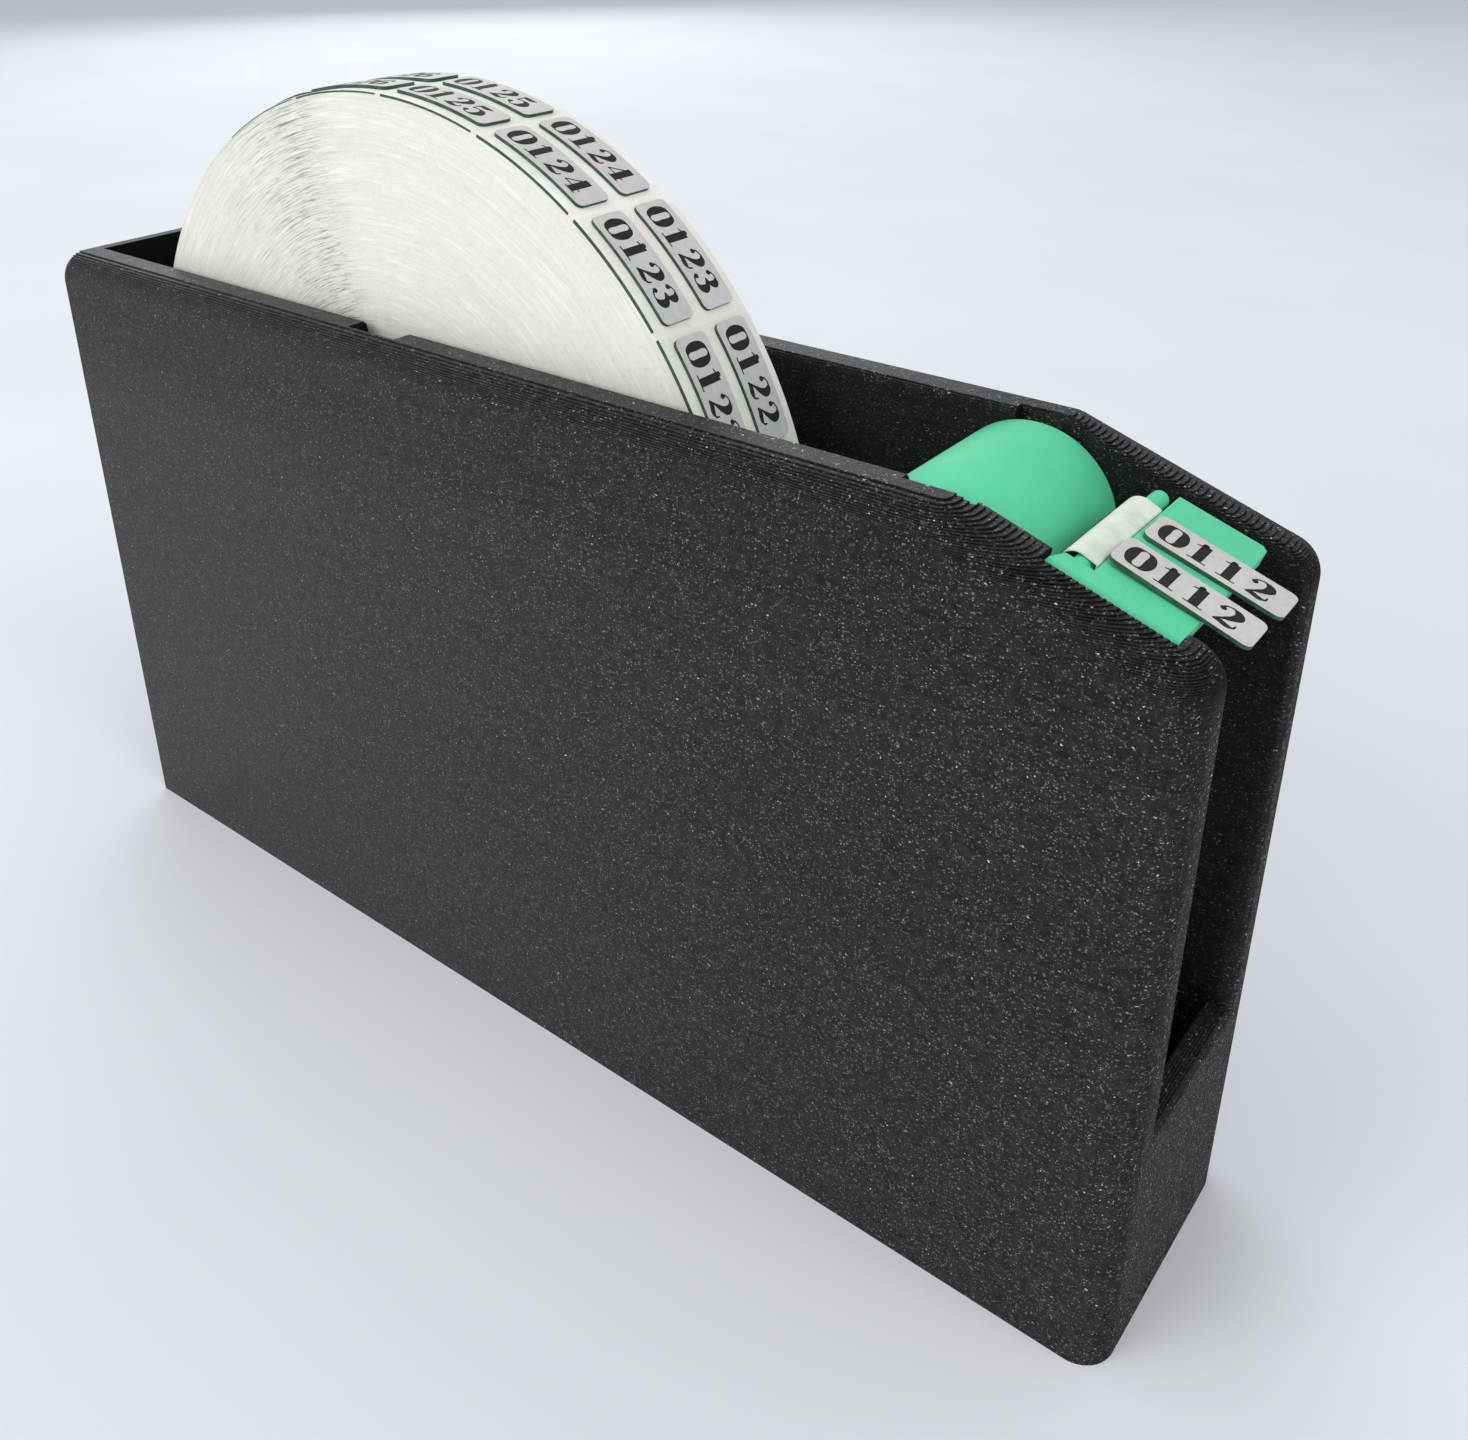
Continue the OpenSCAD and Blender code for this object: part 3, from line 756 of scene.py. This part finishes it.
# numbers: broad-nib strokes (x, y, width) in a figure one unit high
strokes = {
    "0": [
        [(.36, .975, .05), (.56, .86, .15), (.61, .5, .22), (.56, .14, .15), (.36, .025, .05),
         (.16, .14, .15), (.11, .5, .22), (.16, .86, .15), (.36, .975, .05)],
    ],
    "1": [
        [(.36, .97, .2), (.36, .5, .2), (.36, .03, .2)],
        [(.11, .82, .04), (.24, .88, .07), (.31, .97, .10)],
        [(.10, .02, .05), (.36, .02, .05), (.62, .02, .05)],
    ],
    "2": [
        [(.15, .74, .09), (.17, .88, .06), (.34, .97, .06), (.52, .88, .17), (.57, .70, .21),
         (.47, .50, .15), (.26, .26, .08), (.10, .06, .05)],
        [(.10, .05, .05), (.26, .11, .14), (.45, .07, .14), (.61, .12, .07), (.64, .28, .04)],
    ],
    "3": [
        [(.14, .80, .09), (.17, .90, .06), (.33, .97, .05), (.50, .87, .17), (.53, .74, .19),
         (.45, .59, .11), (.27, .53, .05)],
        [(.27, .53, .05), (.50, .45, .14), (.58, .27, .21), (.50, .10, .17), (.31, .025, .05),
         (.14, .10, .07), (.12, .20, .10)],
    ],
    "4": [
        [(.46, .97, .08), (.27, .62, .05), (.06, .28, .05)],
        [(.05, .27, .05), (.36, .27, .05), (.68, .27, .05)],
        [(.47, .97, .2), (.47, .5, .2), (.47, .03, .2)],
        [(.28, .02, .05), (.47, .02, .05), (.66, .02, .05)],
    ],
    "5": [
        [(.15, .95, .06), (.14, .74, .05), (.13, .52, .06)],
        [(.14, .90, .14), (.40, .89, .15), (.59, .97, .05)],
        [(.13, .51, .06), (.32, .60, .06), (.52, .52, .15), (.59, .32, .21), (.50, .11, .16),
         (.31, .025, .05), (.14, .10, .07), (.12, .20, .10)],
    ],
    "6": [
        [(.55, .80, .10), (.53, .90, .06), (.43, .97, .05), (.27, .89, .12), (.13, .66, .2),
         (.11, .40, .21), (.18, .13, .17), (.35, .025, .05), (.53, .13, .15), (.58, .31, .20),
         (.51, .49, .14), (.37, .57, .05), (.20, .48, .05)],
    ],
    "7": [
        [(.08, .72, .04), (.11, .90, .07), (.26, .88, .16), (.45, .90, .14), (.63, .97, .05)],
        [(.63, .96, .05), (.46, .66, .08), (.35, .36, .17), (.33, .04, .21)],
    ],
    "8": [
        [(.35, .975, .05), (.18, .89, .12), (.15, .75, .17), (.30, .58, .2), (.47, .43, .21),
         (.57, .25, .18), (.50, .08, .1), (.34, .025, .05), (.15, .09, .1), (.10, .25, .11),
         (.20, .43, .07), (.36, .55, .05), (.50, .68, .07), (.53, .83, .12), (.47, .94, .07),
         (.35, .975, .05)],
    ],
    "9": [
        [(.15, .20, .10), (.17, .10, .06), (.27, .03, .05), (.43, .11, .12), (.57, .34, .2),
         (.59, .60, .21), (.52, .87, .17), (.35, .975, .05), (.17, .87, .15), (.12, .69, .20),
         (.19, .51, .14), (.33, .43, .05), (.50, .52, .05)],
    ],
}
figure = {"height": 4.7, "advance": 4.15, "start": 1.25, "wide": 1.12, "between": 5, "thick": 0.02,
          "proud": 0.012, "bold": 1.3, "boldFrom": 0.1, "hairline": 0.045,
          "ball": 0.095, "ballSteps": 14, "ballEnds": (0.085, 0.105)}  # ends this wide have a ball
counts = {"parted": 112, "web": 113, "roll": 122}


def curveThrough(points, share):
    ends = [points[0]] + list(points) + [points[-1]]
    if points[0] == points[-1]:
        ends = [points[-2]] + list(points) + [points[1]]
    line = []
    for a, b, c, d in zip(ends, ends[1:], ends[2:], ends[3:]):
        for k in range(share):
            t = k / share
            line.append([0.5 * (2 * q + (r - p) * t + (2 * p - 5 * q + 4 * r - s) * t * t
                                + (3 * q - p - 3 * r + s) * t ** 3) for p, q, r, s in zip(a, b, c, d)])
    return line + [list(points[-1])]


def inFigure(x, y):
    return (x * figure["height"] * figure["wide"], y * figure["height"], 0)


def nibStroke(bm, stroke):
    line = curveThrough(stroke, figure["between"])
    last = len(line) - 1
    edge = None
    for k, (x, y, width) in enumerate(line):
        before, after = line[max(k - 1, 0)], line[min(k + 1, last)]
        if stroke[0] == stroke[-1] and k in (0, last):
            before, after = line[-2], line[1]
        bold = figure["bold"] if width > figure["boldFrom"] else 1.0
        side = Vector((before[1] - after[1], after[0] - before[0])).normalized()
        side = side * max(width * bold, figure["hairline"]) / 2
        ends = [inFigure(*(Vector((x, y)) + side)), inFigure(*(Vector((x, y)) - side))]
        if edge is None:
            order = [bm.verts.new(end) for end in ends]
            edge = bm.edges.new(order)
            continue
        edge = edgesIn(bmesh.ops.extrude_edge_only(bm, edges=[edge])["geom"])[0]
        order = sorted(edge.verts, key=lambda vert: (vert.co.xy - order[0].co.xy).length)
        for vert, end in zip(order, ends):
            vert.co = end


def flatFigure(digit):
    bm = bmesh.new()
    thinnest, widest = figure["ballEnds"]
    for stroke in strokes[digit]:
        nibStroke(bm, stroke)
        for x, y, width in (stroke[0], stroke[-1]):
            if thinnest < width < widest:
                ball = bmesh.ops.create_circle(bm, cap_ends=True, segments=figure["ballSteps"],
                                               radius=figure["ball"] * figure["height"])["verts"]
                bmesh.ops.translate(bm, verts=ball, vec=inFigure(x, y))
    bmesh.ops.translate(bm, verts=bm.verts[:], vec=(0, -figure["height"] / 2, 0))
    thicken(bm, bm.faces[:], figure["thick"])
    return keepPattern(bm, "flatFigure" + digit)


flatFigures = {digit: flatFigure(digit) for digit in strokes}


def numberPiece(name, rides, places):
    bm = bmesh.new()
    for number, place in places:
        for column, digit in enumerate(f"{number:04d}"):
            left = figure["start"] - label["length"] / 2 + column * figure["advance"]
            shift = Vector((left, 0, labelLook["thick"] + figure["proud"] - figure["thick"]))
            addCopy(bm, flatFigures[digit], lambda co: place(co + shift))
    pieceFrom(bm, name, rides, [ink])


for row, rowY in label["rows"].items():
    tail = row.capitalize()
    numberPiece("rollNumbers" + tail, "roll",
                [(counts["roll"] + k, onRoll(angle, rowY)) for k, angle in enumerate(rollAngles)])
    numberPiece("webNumbers" + tail, "root",
                [(counts["web"] + k, onWeb(middle, rowY)) for k, middle in enumerate(webMiddles)])
    numberPiece("partedNumber" + tail, row + "_label", [(counts["parted"], onPlate(row))])
print("numbers printed")


# guide and plate: the solid model's shapes with their sharp edges eased
easedPrints = {"web_guide": {"name": "webGuide", "rides": "guide", "ease": 0.35, "shortest": 0.2},
               "peel_plate": {"name": "peelPlate", "rides": "root", "ease": 0.2, "shortest": 0.9}}
easing = {"flat": 0.5, "sharp": 45.0, "segments": 2, "smoothBelow": 35.0}


def easedPrint(node, look):
    bm = bmesh.new()
    bm.from_mesh(nodes[node].data)
    bmesh.ops.remove_doubles(bm, verts=bm.verts[:], dist=merge["solid"])
    bmesh.ops.dissolve_limit(bm, angle_limit=math.radians(easing["flat"]), verts=bm.verts[:],
                             edges=bm.edges[:])
    limit = math.radians(easing["sharp"])
    sharp = [edge for edge in bm.edges if len(edge.link_faces) == 2 and edge.is_convex
             and edge.calc_face_angle(0) > limit and edge.calc_length() > look["shortest"] * mm]
    easeOff(bm, sharp, look["ease"] * mm, easing["segments"])
    print("eased", look["name"], "edges:", len(sharp), "faces:", len(bm.faces))
    pieceFrom(bm, look["name"], look["rides"], [mint], easing["smoothBelow"], [node])


for node, look in easedPrints.items():
    easedPrint(node, look)

# axle, hub and core keep the solid model's own shapes
for node, finish in {"roll_axle": mint, "core_hub": mint, "roll_core": board}.items():
    data = nodes[node].data
    data.materials.clear()
    data.materials.append(finish.material)

for mesh in patterns:
    bpy.data.meshes.remove(mesh)
print("prints finished")


# stage, in metres and watts
floorCard = {"size": 8.0, "cuts": 8, "low": rgb(0.70, 0.72, 0.75), "high": rgb(0.78, 0.80, 0.83),
             "mottle": 6.0, "rough": 0.85, "specular": 0.2}
studio = {"tone": rgb(0.93, 0.96, 1.0), "strength": 0.62}
lamps = [
    {"name": "overhead", "at": (-0.5, -0.1, 1.6), "aim": (0.0, 0.0, 0.06), "size": 1.4, "power": 3.2},
    {"name": "nearSide", "at": (-0.6, -1.2, 0.8), "aim": (0.0, 0.0, 0.07), "size": 1.1, "power": 9.8},
    {"name": "frontFill", "at": (1.1, -0.15, 1.1), "aim": (0.05, 0.0, 0.07), "size": 1.0, "power": 6.8},
    {"name": "rearSoft", "at": (-1.1, 1.0, 0.8), "aim": (0.0, 0.0, 0.10), "size": 1.4, "power": 6.5},
]
camera = {"at": (0.1623225, -0.1680614, 0.2079830), "turn": (1.14380347, 0.00653489, 0.66296398),
          "lens": 35.321, "sensor": 36.0, "shift": (0.013484, -0.154396), "nearest": 0.01}


def layFloor():
    bm = bmesh.new()
    cuts = floorCard["cuts"]
    bmesh.ops.create_grid(bm, x_segments=cuts, y_segments=cuts, size=floorCard["size"] / 2)
    mesh = bpy.data.meshes.new("floor")
    bm.to_mesh(mesh)
    bm.free()
    card = Finish("paleCard", floorCard["specular"])
    card.give("Roughness", floorCard["rough"])
    mottle = card.noise(card.seat, floorCard["mottle"])
    card.give("Base Color", card.mix(floorCard["low"], floorCard["high"], mottle))
    mesh.materials.append(card.material)
    newObject("floor", mesh)


def lightStudio():
    world = bpy.data.worlds.new("studio")
    world.use_nodes = True
    sky = world.node_tree.nodes["Background"]
    sky.inputs["Color"].default_value = studio["tone"]
    sky.inputs["Strength"].default_value = studio["strength"]
    bpy.context.scene.world = world
    for lamp in lamps:
        light = bpy.data.lights.new(lamp["name"], "AREA")
        light.shape, light.size, light.energy = "DISK", lamp["size"], lamp["power"]
        holder = newObject(lamp["name"], light)
        holder.location = lamp["at"]
        aim = Vector(lamp["aim"]) - Vector(lamp["at"])
        holder.rotation_euler = aim.to_track_quat("-Z", "Y").to_euler()


def setCamera():
    eye = bpy.data.cameras.new("photoView")
    eye.sensor_fit, eye.sensor_width, eye.lens = "HORIZONTAL", camera["sensor"], camera["lens"]
    eye.shift_x, eye.shift_y = camera["shift"]
    eye.clip_start = camera["nearest"]
    holder = newObject("photoView", eye)
    holder.location = camera["at"]
    holder.rotation_euler = camera["turn"]
    bpy.context.scene.camera = holder


layFloor()
lightStudio()
setCamera()
bpy.context.scene.view_settings.view_transform = "Standard"
print("stage set")
